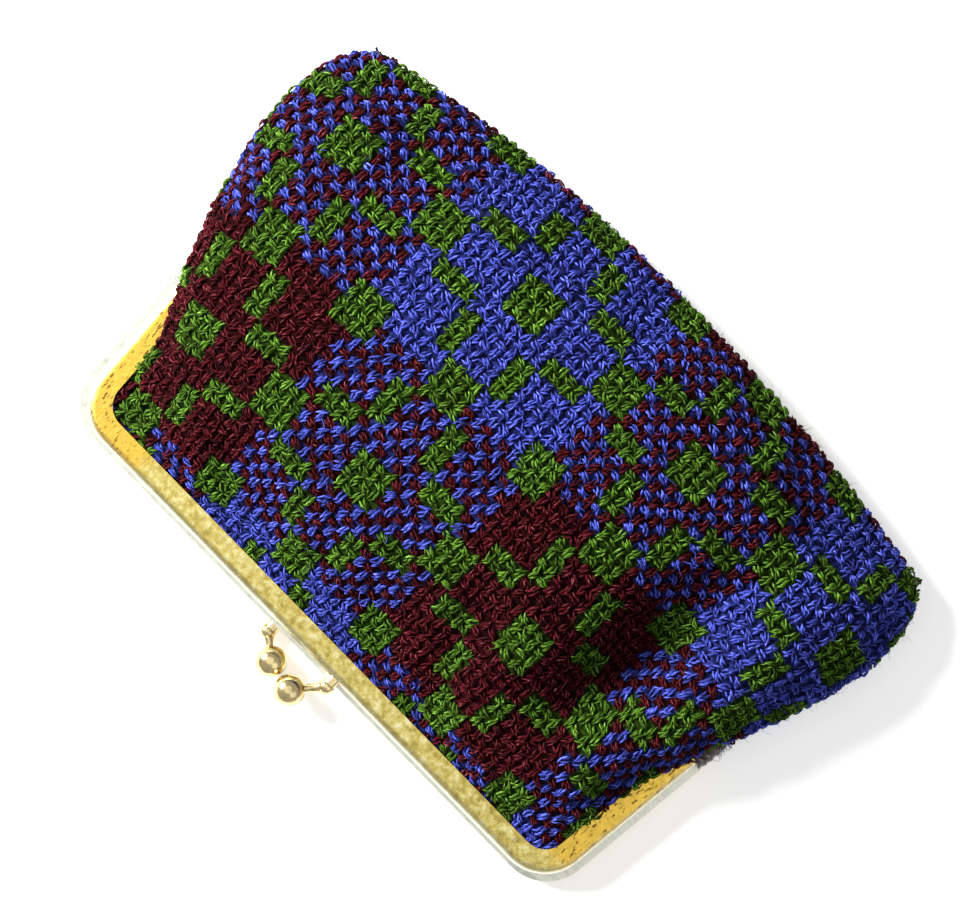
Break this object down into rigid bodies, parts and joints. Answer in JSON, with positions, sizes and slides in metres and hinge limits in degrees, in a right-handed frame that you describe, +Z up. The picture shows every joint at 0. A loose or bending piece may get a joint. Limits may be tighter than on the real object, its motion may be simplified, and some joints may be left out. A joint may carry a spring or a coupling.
{
  "type": "coin purse",
  "caption": "Clasp-frame coin purse of checked double-woven wool: two hinged metal channel frames with a ball clasp, stuffed pouch, lining, lying shut on its back.",
  "frame": {"origin": "bottom centre of the purse's bounding box as it lies shut on its back, at the height of the surface it lies on", "axes": "+X along the frame's bar from the rear knob's side to the front knob's side, +Y from the clasp to the bottom fold, +Z up through the front"},
  "size_m": [0.151, 0.1064, 0.0237],
  "materials": {
    "frame_gilt": "gilt plating, worn silvery along the rolled edges",
    "knob_metal": "polished plating, worn pale on the balls",
    "rivet_metal": "dull",
    "wool": "double-woven wool in green, violet blue and maroon",
    "lining": "thin dark brown lining cloth",
    "cord": "twisted paper cord",
    "thread": "cotton sewing thread"
  },
  "bodies": {
    "rear_half": {"rear_frame": "frame_gilt", "left_hinge_rivet": "rivet_metal", "right_hinge_rivet": "rivet_metal", "rear_clasp_knob": "knob_metal", "rear_packing_cord": "cord", "back_cloth": "wool", "pouch_cloth": "wool", "back_lining": "lining", "pouch_lining": "lining", "left_seam_thread": "thread", "right_seam_thread": "thread", "front_fold_cloth": "wool", "front_fold_lining": "lining"},
    "front_half": {"front_frame": "frame_gilt", "front_clasp_knob": "knob_metal", "front_packing_cord": "cord", "front_cloth": "wool", "front_lining": "lining"}
  },
  "joints": [
    {"name": "mouth_opening", "type": "hinge", "parent": "rear_half", "child": "front_half", "pos_m": [0, -0.00052, 0.0037], "axis": [-1, 0, 0], "range_deg": [0, 85], "deforming": ["front_fold_cloth", "front_fold_lining"]}
  ]
}
